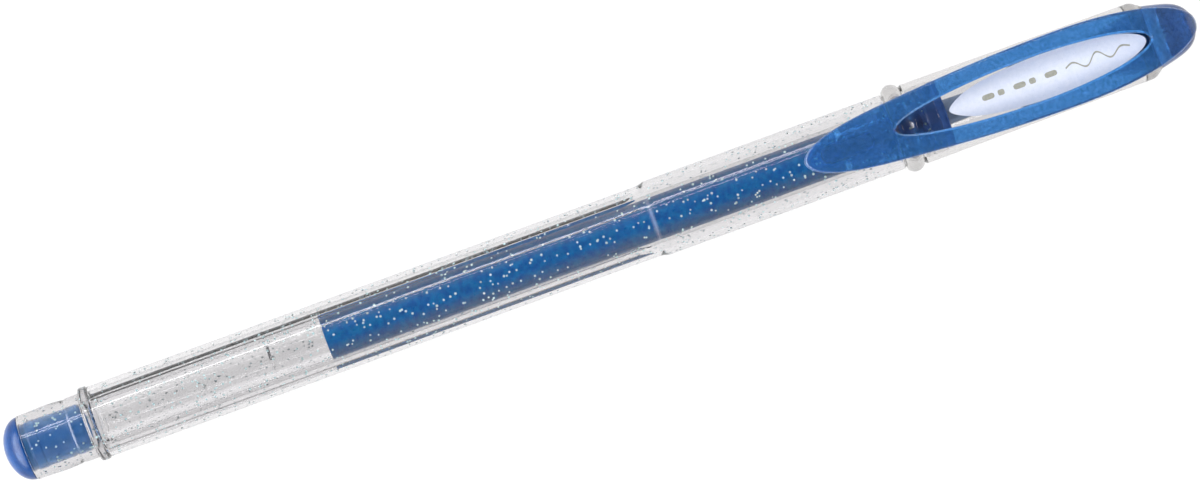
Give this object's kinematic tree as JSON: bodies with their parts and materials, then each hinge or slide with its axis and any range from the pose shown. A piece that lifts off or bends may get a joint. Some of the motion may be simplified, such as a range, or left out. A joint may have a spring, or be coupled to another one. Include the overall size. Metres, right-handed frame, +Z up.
{
  "type": "gel pen",
  "caption": "Capped gel pen: clear round barrel with a see-through refill, clear push-on cap with a teardrop pocket clip.",
  "frame": {"origin": "under the middle of the pen, on the surface that it lies on", "axes": "+X along the pen from its tail to the crown of its cap, +Z up through the pocket clip"},
  "size_m": [0.1492, 0.0108, 0.0125],
  "materials": {
    "clear_barrel": "clear polystyrene with silver glitter, polished",
    "blue_plug": "translucent blue, polished",
    "clear_tube": "clear polypropylene",
    "ink": "blue gel ink",
    "grease": "clear grease",
    "blue_holder": "translucent blue filled with ink",
    "steel_ball": "polished steel",
    "nickel_silver": "turned nickel silver",
    "carbide": "tungsten carbide",
    "clear_cap": "clear polystyrene, polished",
    "blue_inner_cap": "translucent blue",
    "seal_rubber": "soft pale elastomer",
    "blue_crown": "translucent blue, polished",
    "label_white": "printed white panel",
    "blue_clip": "translucent blue, polished"
  },
  "bodies": {
    "barrel": {"barrel": "clear_barrel", "tail_plug": "blue_plug", "refill_tube": "clear_tube", "ink_column": "ink", "tip_holder": "blue_holder", "metal_point": "nickel_silver"},
    "follower": {"grease_follower": "grease"},
    "valve": {"valve_ball": "steel_ball"},
    "writing_ball": {"writing_ball": "carbide"},
    "cap": {"cap_tube": "clear_cap", "inner_cap": "blue_inner_cap", "tip_seal": "seal_rubber", "crown": "blue_crown", "label_panel": "label_white"},
    "clip": {"clip": "blue_clip"}
  },
  "joints": [
    {"name": "cap_pull", "type": "slide", "parent": "barrel", "child": "cap", "axis": [1, 0, 0], "range_m": [0, 0.04]},
    {"name": "clip_flex", "type": "hinge", "parent": "cap", "child": "clip", "pos_m": [0.07435, 0, 0.00805], "axis": [0, 1, 0], "range_deg": [0, 5], "stiffness_Nm_per_rad": 0.06, "springref_deg": -6.88},
    {"name": "follower_slide", "type": "slide", "parent": "barrel", "child": "follower", "axis": [1, 0, 0], "range_m": [0, 0.0645], "deforming": ["ink_column"]},
    {"name": "valve_float", "type": "slide", "parent": "barrel", "child": "valve", "axis": [1, 0, 0], "range_m": [0, 0.0004]},
    {"name": "writing_ball_roll", "type": "hinge", "parent": "barrel", "child": "writing_ball", "pos_m": [0.0543, 0, 0.0054], "axis": [0, 1, 0], "continuous": true}
  ]
}
